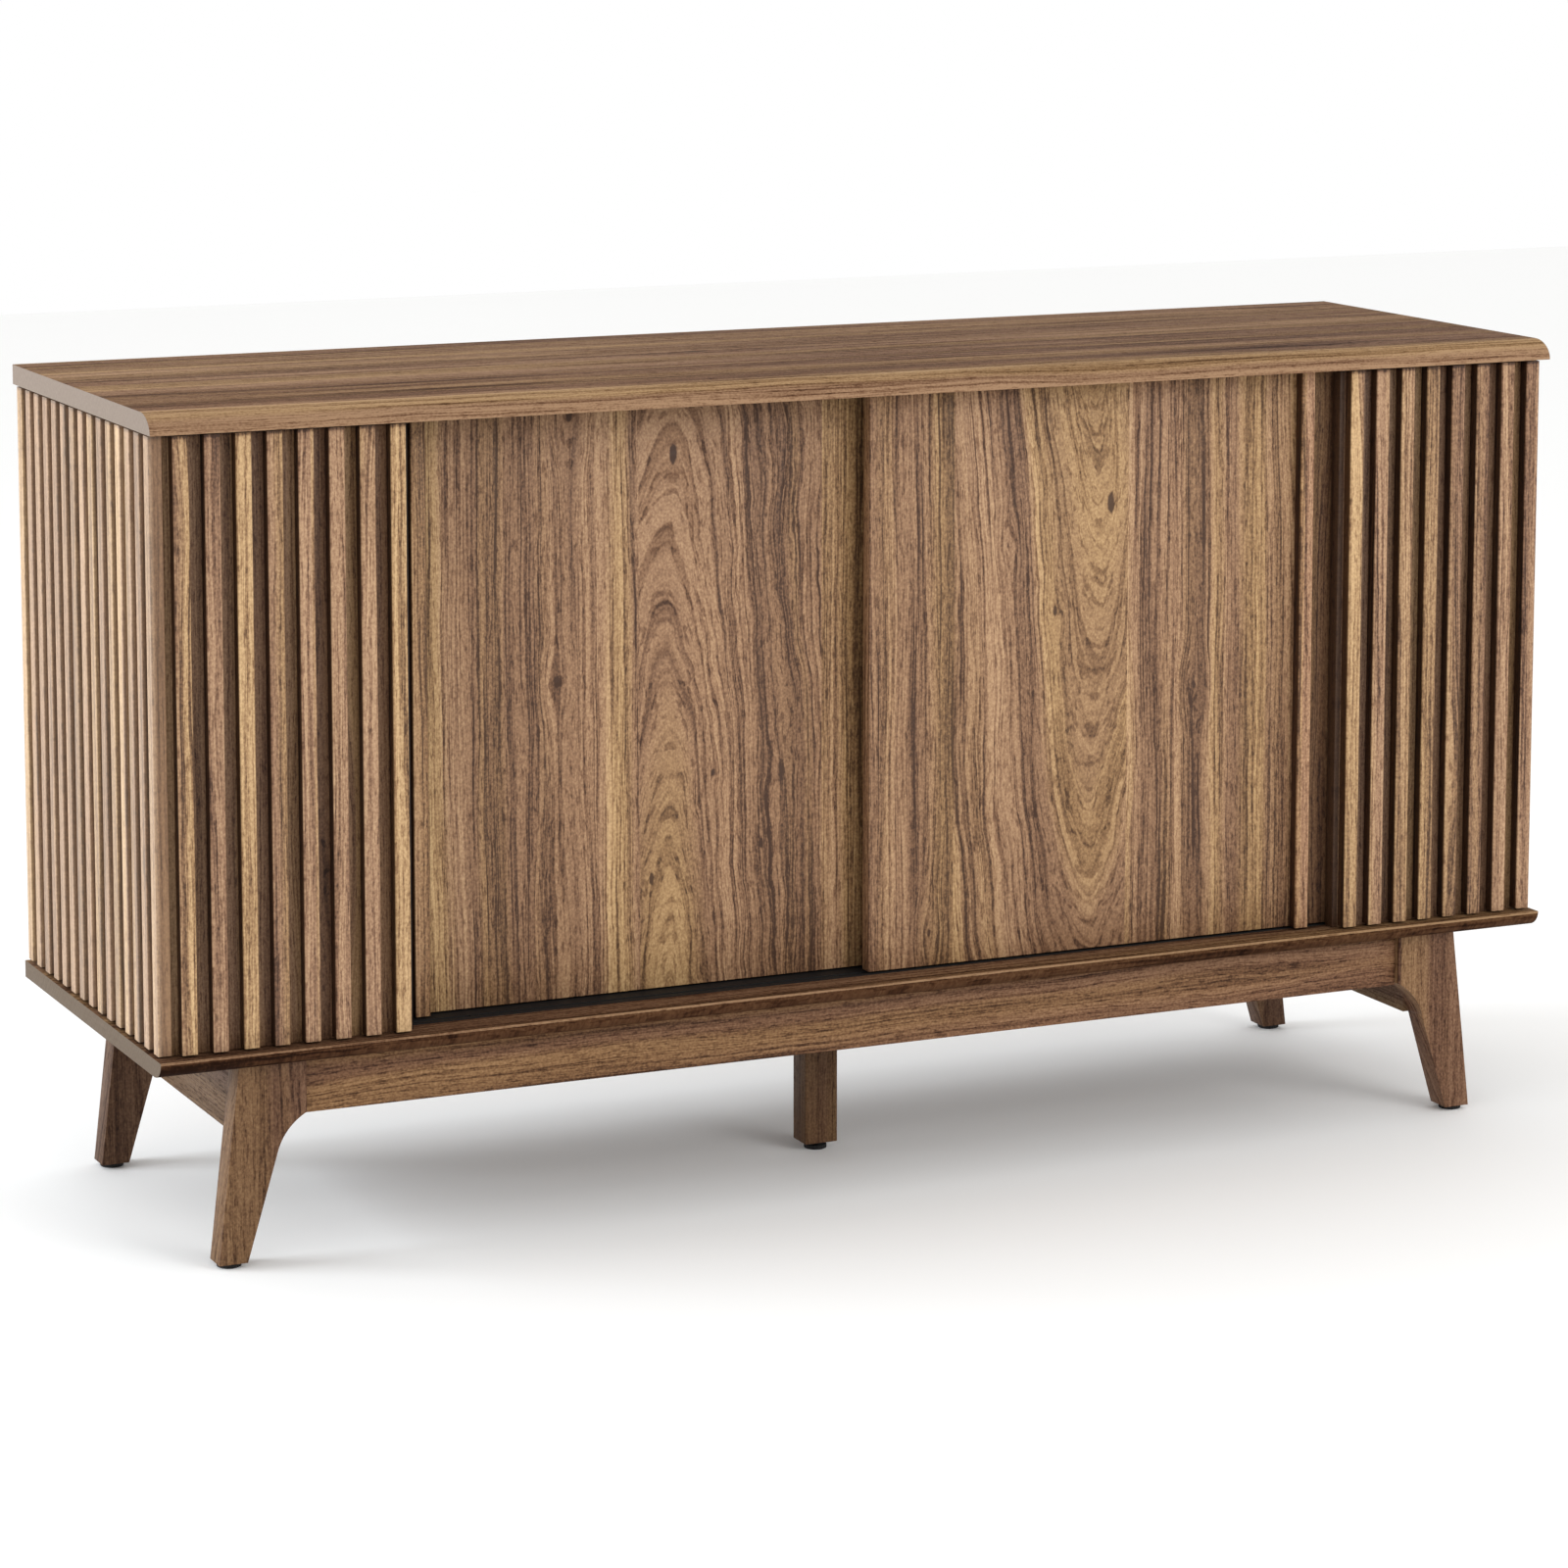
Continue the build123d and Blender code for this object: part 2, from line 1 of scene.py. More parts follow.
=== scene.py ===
import bpy
import bmesh
import json
import math
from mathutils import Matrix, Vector

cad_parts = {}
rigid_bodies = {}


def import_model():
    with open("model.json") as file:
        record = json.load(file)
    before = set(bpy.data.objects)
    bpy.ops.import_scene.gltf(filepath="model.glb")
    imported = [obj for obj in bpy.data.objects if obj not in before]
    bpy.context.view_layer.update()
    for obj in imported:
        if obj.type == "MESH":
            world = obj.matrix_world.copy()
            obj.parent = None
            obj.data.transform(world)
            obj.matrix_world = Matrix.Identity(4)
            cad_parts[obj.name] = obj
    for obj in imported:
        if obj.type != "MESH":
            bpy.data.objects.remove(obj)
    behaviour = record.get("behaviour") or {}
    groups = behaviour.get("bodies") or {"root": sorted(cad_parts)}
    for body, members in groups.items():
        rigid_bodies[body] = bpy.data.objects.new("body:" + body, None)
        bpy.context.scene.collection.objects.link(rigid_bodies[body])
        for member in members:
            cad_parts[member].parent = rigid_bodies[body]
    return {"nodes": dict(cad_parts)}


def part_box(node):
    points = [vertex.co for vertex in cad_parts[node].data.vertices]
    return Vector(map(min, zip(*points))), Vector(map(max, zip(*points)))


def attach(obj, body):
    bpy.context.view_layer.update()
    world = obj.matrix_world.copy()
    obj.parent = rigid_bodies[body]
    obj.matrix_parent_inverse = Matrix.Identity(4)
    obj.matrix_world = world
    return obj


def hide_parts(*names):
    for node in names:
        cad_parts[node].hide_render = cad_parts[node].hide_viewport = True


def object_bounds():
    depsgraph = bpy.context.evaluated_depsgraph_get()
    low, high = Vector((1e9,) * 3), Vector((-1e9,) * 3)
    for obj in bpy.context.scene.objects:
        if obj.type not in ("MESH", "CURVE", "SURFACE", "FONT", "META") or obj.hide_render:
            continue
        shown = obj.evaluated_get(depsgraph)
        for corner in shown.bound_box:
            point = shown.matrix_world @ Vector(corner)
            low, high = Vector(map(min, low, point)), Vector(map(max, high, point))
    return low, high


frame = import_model()
cadLow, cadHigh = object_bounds()
print("frame loaded:", len(frame["nodes"]), "pieces from the CAD model")


def srgb(red, green, blue):  # 0 to 255 as seen on a screen, to the linear colour a shader takes
    channels = [value / 255 for value in (red, green, blue)]
    return tuple(c / 12.92 if c < 0.04045 else ((c + 0.055) / 1.055) ** 2.4 for c in channels) + (1.0,)


class Signal:  # one output socket, so that shader sums read like sums
    def __init__(self, bench, socket):
        self.bench = bench
        self.socket = socket

    def math(self, operation, *values):
        return self.bench.node("ShaderNodeMath", {"operation": operation}, dict(enumerate(values)))

    def __add__(self, other):
        return self.math("ADD", self, other)

    def __sub__(self, other):
        return self.math("SUBTRACT", self, other)

    def __rsub__(self, other):
        return self.math("SUBTRACT", other, self)

    def __mul__(self, other):
        return self.math("MULTIPLY", self, other)

    def __truediv__(self, other):
        return self.math("DIVIDE", self, other)

    def __rtruediv__(self, other):
        return self.math("DIVIDE", other, self)

    def __gt__(self, other):
        return self.math("GREATER_THAN", self, other)

    def __abs__(self):
        return self.math("ABSOLUTE", self)

    __radd__ = __add__
    __rmul__ = __mul__

    def floor(self):
        return self.math("FLOOR", self)

    def least(self, other):
        return self.math("MINIMUM", self, other)

    def root(self):
        return self.math("SQRT", self)

    def ease(self, low, high):  # 0 below low, 1 above high, smooth between
        settings = {"interpolation_type": "SMOOTHSTEP"}
        sockets = {"Value": self, "From Min": low, "From Max": high}
        return self.bench.node("ShaderNodeMapRange", settings, sockets)


class Bench:  # one material and the nodes that make it
    def __init__(self, name):
        self.material = bpy.data.materials.new(name)
        self.material.use_nodes = True
        self.tree = self.material.node_tree
        self.shader = self.tree.nodes["Principled BSDF"]

    def node(self, kind, settings=None, sockets=None, out=0):
        made = self.tree.nodes.new(kind)
        for key, value in (settings or {}).items():
            if key == "stops":
                ramp = made.color_ramp
                while len(ramp.elements) < len(value):
                    ramp.elements.new(0.5)
                for stop, (place, colour) in zip(ramp.elements, value):
                    stop.position = place
                    stop.color = colour
            else:
                setattr(made, key, value)
        for key, value in (sockets or {}).items():
            self.plug(made.inputs[key], value)
        return Signal(self, made.outputs[out])

    def plug(self, socket, value):
        if isinstance(value, Signal):
            self.tree.links.new(value.socket, socket)
        else:
            socket.default_value = value

    def place(self):  # the point being shaded, as three signals
        where = self.node("ShaderNodeTexCoord", out="Object")
        return [self.node("ShaderNodeSeparateXYZ", sockets={0: where}, out=axis) for axis in "XYZ"]

    def vector(self, x, y, z=0.0):
        return self.node("ShaderNodeCombineXYZ", sockets={0: x, 1: y, 2: z})

    def noise(self, where, detail=2.0, roughness=0.5):
        sockets = {"Vector": where, "Scale": 1.0, "Detail": detail, "Roughness": roughness}
        return self.node("ShaderNodeTexNoise", sockets=sockets)

    def random(self, seed):
        return self.node("ShaderNodeTexWhiteNoise", {"noise_dimensions": "1D"}, {"W": seed}, "Value")

    def blend(self, amount, first, second, way="MIX"):
        settings = {"data_type": "RGBA", "blend_type": way}
        return self.node("ShaderNodeMix", settings, {0: amount, 6: first, 7: second}, 2)

    def bump(self, height, strength, distance):
        sockets = {"Height": height, "Strength": strength, "Distance": distance}
        return self.node("ShaderNodeBump", sockets=sockets)

    def finish(self, **sockets):
        for name, value in sockets.items():
            self.plug(self.shader.inputs[name.replace("_", " ")], value)
        return self.material


walnutSizes = {
    "strip": 0.208,  # width of one leaf of veneer
    "eyesAcross": 8.5,  # hidden knots that the lines flow round, per metre
    "eyesAlong": 2.1,
    "eyePush": 0.9,  # how far the lines part at an eye
    "sway": 0.024,  # slow wander of the grain
    "wobble": 0.0036,  # quick wander
    "bands": 26.0,  # light and dark stripes per metre
    "ribbons": 105.0,  # narrower stripes inside them
    "lines": 112.0,  # thin dark growth lines
    "hairs": 270.0,  # fine streaks
    "pores": 520.0,
}

walnutTones = {
    "red": [srgb(62, 41, 29), srgb(111, 81, 60), srgb(143, 111, 85), srgb(180, 148, 116)],
    "gold": [srgb(72, 50, 32), srgb(125, 95, 65), srgb(159, 128, 91), srgb(196, 165, 123)],
    "edgeBand": [srgb(121, 108, 98), srgb(139, 126, 115)],
    "baseBand": [srgb(92, 80, 69), srgb(110, 97, 84)],
    "slatSides": srgb(98, 80, 67),  # painted shade on the sides of the front slats and handles
    # painted shade on the sides of the end slats, lighter than on the front slats
    "endSlatSides": srgb(196, 182, 170),
    "endSlatWash": srgb(182, 160, 137),  # painted sheen that makes the end slats paler
    "noseShade": srgb(190, 177, 163),  # painted shade under the front edge of the base
    "leftMargin": srgb(74, 60, 50),  # painted shade on the edges of the fixed panels next to the doors, and on the right door beside its handle
    "rightMargin": srgb(150, 136, 124),
    "behindHandle": srgb(174, 166, 160),
}

walnutCuts = {
    "slatAcross": 3.7,  # how far apart in the board two slats are cut
    "slatAlong": 5.3,
    "knotLuck": 0.6,  # share of the hidden knots without a dark heart
    "topShadow": (0.0042, 0.0008),  # dark line below the top, from and to
    "topWrap": 0.0299,  # painted highlight on the top's rounded front edge, reaching this far back
    "baseLip": 0.0021,  # painted highlight, a thin light line along the base's upper front edge
    "noseShade": 0.0022,  # the painted shade starts this far below the base's upper face
    "glaze": (0.0005, 0.0032),  # painted shade on a slat's side, from and to
    "endSlack": 0.0004,  # allowance beyond the depth of a slat
    "endBand": 0.0002,  # depth of the glued strip
    "stainGap": 0.0006,  # from the last slat or the handle to the painted shade strip
}

# red, green and blue share of the door's tone that each piece keeps: partly the veneer's own tone, partly
# painted light and shade, as the legs, aprons, boards and backing panels are darker or lighter copies of
# one wood for the shade or light each gets
walnutToneAndShade = {
    "door": (1.09, 1.05, 0.97),
    "slat": (1.1, 1.07, 1.04),
    "handle": (1.32, 1.26, 1.2),
    "leftPanel": (0.56, 0.485, 0.43),
    "rightPanel": (0.55, 0.5, 0.48),
    "endPanel": (0.4, 0.38, 0.36),
    "topBoard": (0.7, 0.655, 0.64),
    "baseBoard": (0.6, 0.55, 0.53),
    "frontLegLeft": (0.5, 0.435, 0.42),
    "frontLegRight": (0.66, 0.59, 0.58),
    "rearLeg": (0.38, 0.335, 0.32),
    "centreLeg": (0.34, 0.29, 0.26),
    "apron": (0.76, 0.67, 0.62),
    "sideApron": (0.42, 0.4, 0.42),
    "inner": (1.0, 1.0, 1.0),
    "back": (0.8, 0.8, 0.8),
}

# one arched leaf on each door, and the small knots seen on it: across, along, radius
leftFigure = {
    "leaf": -0.32,
    "heart": -0.386,
    "source": 0.1,
    "slope": 0.125,
    "knots": [
        (-0.515, 0.56, 0.0032),
        (-0.341, 0.453, 0.0026),
        (-0.286, 0.373, 0.0024),
        (-0.501, 0.835, 0.004),
        (-0.385, 0.789, 0.0034),
        (-0.411, 0.347, 0.0026),
    ],
}
rightFigure = {
    "leaf": -0.002,
    "heart": 0.066,
    "source": 0.97,
    "slope": 0.125,
    "knots": [
        (0.014, 0.601, 0.0026),
        (-0.0425, 0.675, 0.0028),
        (0.081, 0.712, 0.0034),
        (0.185, 0.508, 0.0034),
        (-0.134, 0.265, 0.0028),
    ],
}

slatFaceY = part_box("front_slat_left_1")[0].y
slatFaceX = -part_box("side_slats_left")[0].x
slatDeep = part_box("front_slat_left_1")[1].y - slatFaceY
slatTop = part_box("front_slat_left_1")[1].z
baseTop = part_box("base_board")[1].z
farEdge = cadHigh.x * 2
stainGap = walnutCuts["stainGap"]
shadeStrips = {  # from x, to x and tone of the painted shade strips beside the door openings and the right handle
    "leftPanel": (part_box("front_slat_left_8")[1].x + stainGap, farEdge, walnutTones["leftMargin"]),
    "rightPanel": (-farEdge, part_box("front_slat_right_1")[0].x - stainGap, walnutTones["rightMargin"]),
    "rightDoor": (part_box("door_right_handle")[1].x + stainGap, farEdge, walnutTones["behindHandle"]),
}


def shaded(colours, tint):
    return [tuple(channel * share for channel, share in zip(colour, tint)) + (1.0,) for colour in colours]


def walnut(
    name, grain, seed, tint, figure=None, cut="", faceY=0.0, stain=None, vivid=1.0, rough=0.5, sheen=0.3
):
    bench = Bench(name)
    x, y, z = bench.place()
    along = {"x": x, "y": y, "z": z}[grain]
    others = [signal for axis, signal in (("x", x), ("y", y), ("z", z)) if axis != grain]
    across = others[0] + others[1]
    if cut == "slats":  # every slat is cut from its own place in the board
        slat = bench.node("ShaderNodeAttribute", {"attribute_name": "slatSeed"}, out="Fac")
        across = across + slat * walnutCuts["slatAcross"]
        along = along + slat * walnutCuts["slatAlong"]

    # the lines part round hidden knots, and wander
    cell = bench.vector(across * walnutSizes["eyesAcross"], along * walnutSizes["eyesAlong"], seed)
    eyeFar, eyeLuck, eyePlace = [
        bench.node("ShaderNodeTexVoronoi", sockets={"Vector": cell, "Scale": 1.0}, out=out)
        for out in ("Distance", "Color", "Position")
    ]
    eyeX = bench.node("ShaderNodeSeparateXYZ", sockets={0: eyePlace})
    eyeSize = bench.node("ShaderNodeSeparateColor", sockets={0: eyeLuck})
    eyeSide = across - eyeX / walnutSizes["eyesAcross"]
    eyeReach = 1.0 - eyeFar.ease(0.02, 0.48)
    sway = bench.noise(bench.vector(across * 5.0, along * 1.3, seed), detail=3.0) - 0.5
    wobble = bench.noise(bench.vector(across * 42.0, along * 13.0, seed), detail=3.0) - 0.5
    wander = sway * walnutSizes["sway"] + wobble * walnutSizes["wobble"]
    parted = across - eyeSide * eyeReach * eyeSize * walnutSizes["eyePush"]
    knots = (1.0 - eyeFar.ease(0.012, 0.05)) * (eyeSize > walnutCuts["knotLuck"])
    for knotAcross, knotAlong, radius in figure["knots"] if figure else []:
        offAcross = across - knotAcross
        offAlong = (along - knotAlong) * 0.42
        far = (offAcross * offAcross + offAlong * offAlong).root() + wobble * radius * 3.0
        parted = parted - offAcross * (1.0 - far.ease(0.0, radius * 9.0)) * 0.92
        knots = knots + (1.0 - far.ease(radius * 0.3, radius * 1.2))

    # leaves laid side by side; one may be cut through the heart, so its lines close in arches
    middle = figure["leaf"] if figure else seed * 0.37
    leaf = ((across - middle) / walnutSizes["strip"] + 0.5).floor()
    leafLuck = bench.random(leaf + seed)
    ring = parted + wander + leafLuck * 7.0
    if figure:
        drift = bench.noise(bench.vector(along * 3.4, seed * 1.0), detail=2.0) - 0.5
        side = across * 0.35 + parted * 0.65 - figure["heart"] + wobble * 0.012 + drift * 0.05
        rise = (along - figure["source"]) * figure["slope"]
        arch = (side * side + rise * rise).root() + abs(side) * 0.1 + side * 0.1 + wander * 0.8
        inside = 1.0 - (abs(leaf) > 0.5)
        ring = ring + (arch - ring) * inside
        vivid = vivid - inside * (1.0 - abs(side).ease(0.015, 0.075)) * 0.42

    bands = bench.noise(bench.vector(ring * walnutSizes["bands"], along * 0.5, seed), detail=2.0)
    ribbons = bench.noise(bench.vector(ring * walnutSizes["ribbons"], along * 0.9, seed), detail=2.0)
    warm = bench.noise(bench.vector(ring * 24.0, along * 0.3, seed + 9.0), detail=1.0).ease(0.42, 0.62)
    crossing = bench.noise(bench.vector(ring * walnutSizes["lines"], along * 1.0, seed + 2.0), detail=3.0)
    lines = 1.0 - abs(crossing - 0.5).ease(0.0, 0.042)
    hairField = bench.vector(ring * walnutSizes["hairs"], along * 3.2, seed)
    hairs = bench.noise(hairField, detail=3.0, roughness=0.62).ease(0.47, 0.66)
    poreField = bench.noise(bench.vector(ring * walnutSizes["pores"], along * 62.0, seed), detail=1.0)
    pores = poreField.ease(0.54, 0.68)
    grit = bench.noise(bench.vector(across * 460.0, along * 330.0, seed), detail=2.0) - 0.5
    mark = (bands - 0.5) * 1.05 + (ribbons - 0.5) * 0.65 - lines * 0.26 - hairs * 0.42
    level = 0.64 + mark * vivid + (leafLuck - 0.5) * 0.14 + grit * 0.85 - pores * 0.27 - knots * 0.85
    if cut == "slats":
        level = level + 0.035 + (bench.random(slat * 91.0) - 0.5) * 0.11
    if cut in ("slats", "door", "panel"):  # a dark line where the fronts meet the top
        fromTop, toTop = walnutCuts["topShadow"]
        level = level - z.ease(slatTop - fromTop, slatTop - toTop) * 0.5
    if cut == "top":  # painted highlight on the rounded front edge
        level = level + (1.0 - (y > cadLow.y + walnutCuts["topWrap"])) * 0.36
    # painted highlight along the base's upper front edge
    if cut == "base":
        highlightBand = walnutCuts["baseLip"]
        level = level + (1.0 - (y > cadLow.y + highlightBand)) * (z > baseTop - highlightBand) * 0.5

    places = (0.0, 0.34, 0.62, 1.0)
    red = list(zip(places, shaded(walnutTones["red"], walnutToneAndShade[tint])))
    gold = list(zip(places, shaded(walnutTones["gold"], walnutToneAndShade[tint])))
    redRamp = bench.node("ShaderNodeValToRGB", {"stops": red}, {0: level})
    goldRamp = bench.node("ShaderNodeValToRGB", {"stops": gold}, {0: level})
    colour = bench.blend(warm, redRamp, goldRamp)
    # painted shade: each slat's sides darken from just behind its face
    if cut == "slats":
        fromFront = y - slatFaceY
        fromEnd = slatFaceX - abs(x)
        glaze = fromFront.least(fromEnd * 0.6).ease(*walnutCuts["glaze"])
        onEnd = (1.0 - (fromEnd > slatDeep + walnutCuts["endSlack"])) * (fromFront > walnutCuts["glaze"][0])
        sides = bench.blend(onEnd, walnutTones["slatSides"], walnutTones["endSlatSides"])
        # painted sheen on the end slats
        colour = bench.blend(onEnd * 0.34, colour, walnutTones["endSlatWash"])
        colour = bench.blend(glaze, colour, sides, "MULTIPLY")
    # painted shade on the sides of the handle
    if cut == "handle":
        glaze = (y - faceY).ease(*walnutCuts["glaze"])
        colour = bench.blend(glaze, colour, walnutTones["slatSides"], "MULTIPLY")
    # painted shade strips beside the door openings and the right handle
    if stain:
        fromX, toX, shadeTone = stain
        shadedStrip = (x > fromX) * (1.0 - (x > toX))
        colour = bench.blend(shadedStrip, colour, shadeTone, "MULTIPLY")
    # painted shade on the base below its upper face
    if cut == "base":
        under = 1.0 - (z > baseTop - walnutCuts["noseShade"])
        colour = bench.blend(under, colour, walnutTones["noseShade"], "MULTIPLY")
    if cut in ("top", "base"):  # the glued strip on the short edges
        endTone = bench.noise(bench.vector(y * 260.0, z * 260.0), detail=3.0)
        endColour = bench.blend(endTone, *walnutTones["edgeBand" if cut == "top" else "baseBand"])
        colour = bench.blend(abs(x) > cadHigh.x - walnutCuts["endBand"], colour, endColour)
    height = grit * 0.4 - pores * 0.8 - lines * 0.4 - hairs * 0.4
    return bench.finish(
        Base_Color=colour,
        Roughness=rough + hairs * 0.12 + pores * 0.12,
        Specular_IOR_Level=sheen,
        Normal=bench.bump(height, 0.3, 0.0004),
    )


topWood = walnut("topWalnut", "x", 3.0, "topBoard", cut="top", rough=0.7, sheen=0.04)
baseWood = walnut("baseWalnut", "x", 5.6, "baseBoard", cut="base", rough=0.7, sheen=0.04)
leftDoorWood = walnut("leftDoorWalnut", "z", 11.3, "door", figure=leftFigure, cut="door")
rightDoorWood = walnut(
    "rightDoorWalnut", "z", 27.6, "door", rightFigure, "door", stain=shadeStrips["rightDoor"]
)
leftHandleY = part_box("door_left_handle")[0].y
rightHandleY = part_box("door_right_handle")[0].y
leftHandleWood = walnut("leftHandleWalnut", "z", 13.9, "handle", cut="handle", faceY=leftHandleY)
rightHandleWood = walnut("rightHandleWalnut", "z", 29.2, "handle", cut="handle", faceY=rightHandleY)
slatWood = walnut("slatWalnut", "z", 7.7, "slat", cut="slats")
leftPanelWood = walnut(
    "leftPanelWalnut", "z", 5.1, "leftPanel", cut="panel", stain=shadeStrips["leftPanel"], vivid=0.7
)
rightPanelWood = walnut(
    "rightPanelWalnut", "z", 5.1, "rightPanel", cut="panel", stain=shadeStrips["rightPanel"], vivid=0.7
)
endPanelWood = walnut("endPanelWalnut", "z", 5.1, "endPanel", cut="panel", vivid=0.7)
legLeftWood = walnut("legLeftWalnut", "z", 9.4, "frontLegLeft", vivid=0.6, sheen=0.15)
legRightWood = walnut("legRightWalnut", "z", 8.2, "frontLegRight", vivid=0.6, sheen=0.15)
rearLegWood = walnut("rearLegWalnut", "z", 10.7, "rearLeg", vivid=0.6, sheen=0.15)
centreLegWood = walnut("centreLegWalnut", "z", 12.1, "centreLeg", vivid=0.6, sheen=0.15)
apronWood = walnut("apronWalnut", "x", 15.2, "apron", vivid=0.8, sheen=0.15)
sideApronWood = walnut("sideApronWalnut", "y", 19.9, "sideApron", vivid=0.6, sheen=0.15)
innerWood = walnut("innerWalnut", "x", 33.3, "inner")
dividerWood = walnut("dividerWalnut", "z", 37.3, "inner")
backWood = walnut("backWalnut", "z", 41.1, "back", rough=0.65)


def blackPlastic():
    bench = Bench("blackPlastic")
    x, y, z = bench.place()
    spark = bench.noise(bench.vector(x * 1400.0, y * 1400.0, z * 1400.0), detail=2.0)
    scuff = bench.noise(bench.vector(x * 40.0, y * 160.0, z * 160.0), detail=3.0).ease(0.55, 0.8)
    colour = bench.blend(scuff * 0.5, srgb(11, 10, 10), srgb(26, 24, 23))
    return bench.finish(
        Base_Color=colour,
        Roughness=0.55 + spark * 0.2,
        Specular_IOR_Level=0.3,
        Normal=bench.bump(spark, 0.25, 0.0002),
    )


def zincSteel():
    bench = Bench("zincSteel")
    x, y, z = bench.place()
    turning = bench.noise(bench.vector(x * 300.0, y * 300.0, z * 2600.0), detail=3.0)
    bloom = bench.noise(bench.vector(x * 90.0, y * 90.0, z * 90.0), detail=4.0).ease(0.4, 0.7)
    colour = bench.blend(bloom * 0.6, srgb(206, 207, 204), srgb(176, 174, 160))
    return bench.finish(
        Base_Color=colour,
        Metallic=1.0,
        Roughness=0.25 + turning * 0.2,
        Normal=bench.bump(turning, 0.2, 0.0001),
    )


def rawBeech():
    bench = Bench("rawBeech")
    x, y, z = bench.place()
    flecks = bench.noise(bench.vector(x * 900.0, y * 900.0, z * 120.0), detail=2.0)
    colour = bench.blend(flecks, srgb(186, 142, 100), srgb(222, 188, 146))
    return bench.finish(
        Base_Color=colour,
        Roughness=0.6 + flecks * 0.2,
        Normal=bench.bump(flecks, 0.2, 0.0003),
    )


plastic = blackPlastic()
steel = zincSteel()
beech = rawBeech()
print("finishes made:", len(bpy.data.materials))


def finishNode(node, material):
    mesh = frame["nodes"][node].data
    mesh.materials.clear()
    mesh.materials.append(material)


for node in ("back_panel_left", "back_panel_right"):
    finishNode(node, backWood)
for node in ("bottom_track", "top_track", "track_stops", "door_left_guides", "door_right_guides"):
    finishNode(node, plastic)
for node in ("shelf_pins", "glide_inserts"):
    finishNode(node, steel)
for node in ("case_dowels", "frame_dowels"):
    finishNode(node, beech)


def addPiece(name, mesh, body, slotName, material, *nodes):
    mesh.name = name
    mesh.materials.clear()
    mesh.materials.append(material)
    piece = bpy.data.objects.new(name, mesh)
    bpy.context.collection.objects.link(piece)
    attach(piece, body)
    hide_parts(*nodes)
    return piece


easedEdges = {
    "width": 0.0008,  # how far the sharp edges are rubbed back
    "shortest": 0.012,  # shorter edges, as round drilled holes, stay as they are
    "corner": math.radians(35),
}


def easeEdges(node, name, body, slotName, material):
    mesh = frame["nodes"][node].data.copy()
    shape = bmesh.new()
    shape.from_mesh(mesh)
    bmesh.ops.remove_doubles(shape, verts=shape.verts, dist=1e-6)
    bmesh.ops.dissolve_limit(shape, angle_limit=math.radians(0.5), verts=shape.verts, edges=shape.edges)
    sharp = [
        edge
        for edge in shape.edges
        if edge.is_manifold
        and edge.calc_length() > easedEdges["shortest"]
        and edge.calc_face_angle() > easedEdges["corner"]
        and edge.is_convex
    ]
    bmesh.ops.bevel(
        shape,
        geom=sharp,
        offset=easedEdges["width"],
        offset_type="OFFSET",
        segments=2,
        profile=0.5,
        affect="EDGES",
        clamp_overlap=True,
    )
    for face in shape.faces:
        face.smooth = True
    shape.to_mesh(mesh)
    shape.free()
    mesh.set_sharp_from_angle(angle=math.radians(32))
    return addPiece(name, mesh, body, slotName, material, node)


joinery = [
    ("top_board", "topBoard", "cabinet", "walnut_boards", topWood),
    ("base_board", "baseBoard", "cabinet", "walnut_boards", baseWood),
    ("front_panel_left", "frontPanelLeft", "cabinet", "walnut_panels", leftPanelWood),
    ("front_panel_right", "frontPanelRight", "cabinet", "walnut_panels", rightPanelWood),
    ("side_panel_left", "sidePanelLeft", "cabinet", "walnut_panels", endPanelWood),
    ("side_panel_right", "sidePanelRight", "cabinet", "walnut_panels", endPanelWood),
    ("door_left_panel", "leftDoorPanel", "left_door", "walnut_doors", leftDoorWood),
    ("door_right_panel", "rightDoorPanel", "right_door", "walnut_doors", rightDoorWood),
    ("door_left_handle", "leftDoorHandle", "left_door", "walnut_slats", leftHandleWood),
    ("door_right_handle", "rightDoorHandle", "right_door", "walnut_slats", rightHandleWood),
    ("centre_divider", "centreDivider", "cabinet", "inner_boards", dividerWood),
    ("shelf_left", "shelfLeft", "cabinet", "inner_boards", innerWood),
    ("shelf_right", "shelfRight", "cabinet", "inner_boards", innerWood),
    ("leg_front_left", "legFrontLeft", "cabinet", "walnut_frame", legLeftWood),
    ("leg_front_right", "legFrontRight", "cabinet", "walnut_frame", legRightWood),
    ("leg_rear_left", "legRearLeft", "cabinet", "walnut_frame", rearLegWood),
    ("leg_rear_right", "legRearRight", "cabinet", "walnut_frame", rearLegWood),
    ("centre_leg", "centreLeg", "cabinet", "walnut_frame", centreLegWood),
    ("apron_front", "apronFront", "cabinet", "walnut_frame", apronWood),
    ("apron_rear", "apronRear", "cabinet", "walnut_frame", apronWood),
    ("apron_left", "apronLeft", "cabinet", "walnut_frame", sideApronWood),
    ("apron_right", "apronRight", "cabinet", "walnut_frame", sideApronWood),
    ("centre_rails", "centreRails", "cabinet", "walnut_frame", sideApronWood),
    ("corner_braces", "cornerBraces", "cabinet", "walnut_frame", apronWood),
]
for row in joinery:
    easeEdges(*row)
print("eased boards, doors and frame:", len(joinery))


